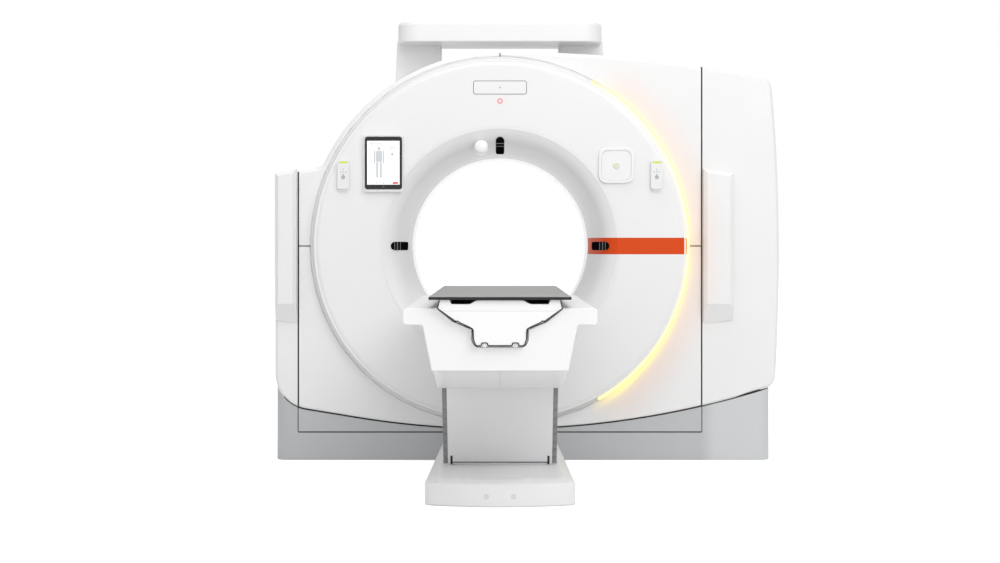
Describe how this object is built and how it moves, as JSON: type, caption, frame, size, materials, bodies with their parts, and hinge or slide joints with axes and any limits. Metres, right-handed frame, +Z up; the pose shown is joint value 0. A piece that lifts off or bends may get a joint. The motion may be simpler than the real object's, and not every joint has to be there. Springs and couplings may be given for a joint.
{
  "type": "ct scanner",
  "caption": "Ring gantry with a wide bore, a turning tube and detector frame inside, and a patient table that lifts on two swing arms and slides its cradle into the bore",
  "frame": {"origin": "on the floor, straight under the centre of the bore at mid depth of the gantry", "axes": "X to the right seen from the table side, Y along the bore away from the table, Z up"},
  "size_m": [2.3458, 3.302, 2.083],
  "materials": {
    "cover_white": "smooth white moulding",
    "plinth_grey": "smooth grey moulding",
    "column_grey": "satin light grey",
    "seal_black": "matte black",
    "light_strip": "lit warm yellow",
    "band_orange": "plain orange film",
    "laser_black": "gloss black window",
    "status_red": "lit red ring",
    "dome_white": "frosted white",
    "tablet_black": "black bezel",
    "remote_white": "satin white",
    "key_grey": "satin grey",
    "frame_steel": "grey enamel",
    "bearing_steel": "ground steel",
    "ring_copper": "copper tracks",
    "unit_grey": "grey enamel",
    "arm_white": "white enamel",
    "gaiter_black": "dark pleats",
    "cradle_white": "smooth white shell",
    "overlay_black": "dark fibre sheet",
    "rail_steel": "ground steel"
  },
  "bodies": {
    "gantry": {"front_cover_upper_left": "cover_white", "front_cover_upper_right": "cover_white", "front_cover_lower_left": "cover_white", "front_cover_lower_right": "cover_white", "rear_covers": "cover_white", "side_cover_left_front": "cover_white", "side_cover_left_rear": "cover_white", "side_cover_right_front": "cover_white", "side_cover_right_rear": "cover_white", "cover_seals": "seal_black", "gantry_ring_front": "cover_white", "gantry_ring_rear": "cover_white", "bore_funnel_front": "cover_white", "bore_funnel_rear": "cover_white", "scan_window": "seal_black", "light_ring": "light_strip", "groove_gasket": "seal_black", "accent_band": "band_orange", "laser_windows": "laser_black", "service_hatch": "cover_white", "status_ring": "status_red", "camera_dome": "dome_white", "tablet_dock": "remote_white", "tablet": "tablet_black", "dock_plate": "remote_white", "remote_holders": "remote_white", "remotes": "remote_white", "plinth": "plinth_grey", "kick_panels": "plinth_grey", "top_bridge": "cover_white", "gantry_frame": "frame_steel", "main_bearing": "bearing_steel", "brush_block": "unit_grey", "drive_motor": "unit_grey", "table_base_cover": "cover_white", "table_base_plate": "frame_steel", "foot_pivots": "bearing_steel", "lift_motor": "unit_grey"},
    "rotor": {"rotor_drum": "frame_steel", "slip_ring": "ring_copper", "xray_tube": "unit_grey", "collimator": "unit_grey", "detector_arc": "unit_grey", "hv_generator": "unit_grey", "tube_cooler": "unit_grey"},
    "drive_roller": {"drive_wheel": "rail_steel"},
    "lift_arm_front": {"swing_arm_front": "arm_white", "column_panel": "column_grey", "side_gaiters": "gaiter_black"},
    "lift_arm_rear": {"swing_arm_rear": "arm_white"},
    "table_top": {"table_frame": "frame_steel", "table_housing": "cover_white", "housing_bellies": "cover_white", "slide_rails": "rail_steel"},
    "cradle_slider": {"cradle": "cradle_white", "flat_overlay": "overlay_black"},
    "home_key": {"tablet_home_button": "tablet_black"},
    "remote_key_a": {"remote_key_left": "key_grey"},
    "remote_key_b": {"remote_key_right": "key_grey"}
  },
  "joints": [
    {"name": "rotor_spin", "type": "hinge", "parent": "gantry", "child": "rotor", "pos_m": [0, 0.05, 0.99], "axis": [0, 1, 0], "continuous": true},
    {"name": "drive_wheel_spin", "type": "hinge", "parent": "gantry", "child": "drive_roller", "pos_m": [0.63766, 0.045, 0.41585], "axis": [0, 1, 0], "continuous": true},
    {"name": "table_lift", "type": "hinge", "parent": "gantry", "child": "lift_arm_front", "pos_m": [0, -1.848, 0.18], "axis": [-1, 0, 0], "range_deg": [-40, 19.5]},
    {"name": "table_lift_rear", "type": "hinge", "parent": "gantry", "child": "lift_arm_rear", "pos_m": [0, -1.148, 0.18], "axis": [-1, 0, 0], "range_deg": [-40, 19.5]},
    {"name": "table_level", "type": "hinge", "parent": "lift_arm_front", "child": "table_top", "pos_m": [0, -2.15238, 0.57668], "axis": [-1, 0, 0], "range_deg": [-19.5, 40]},
    {"name": "cradle_slide", "type": "slide", "parent": "table_top", "child": "cradle_slider", "axis": [0, 1, 0], "range_m": [0, 1.7]},
    {"name": "home_press", "type": "slide", "parent": "gantry", "child": "home_key", "axis": [0, 1, 0], "range_m": [0, 0.0004], "stiffness_N_per_m": 2500},
    {"name": "remote_left_press", "type": "slide", "parent": "gantry", "child": "remote_key_a", "axis": [0, 1, 0], "range_m": [0, 0.001], "stiffness_N_per_m": 1500},
    {"name": "remote_right_press", "type": "slide", "parent": "gantry", "child": "remote_key_b", "axis": [0, 1, 0], "range_m": [0, 0.001], "stiffness_N_per_m": 1500}
  ],
  "couplings": [
    {"joint": "drive_wheel_spin", "follows": "rotor_spin", "ratio": -13.3},
    {"joint": "table_lift_rear", "follows": "table_lift", "ratio": 1},
    {"joint": "table_level", "follows": "table_lift", "ratio": -1}
  ]
}
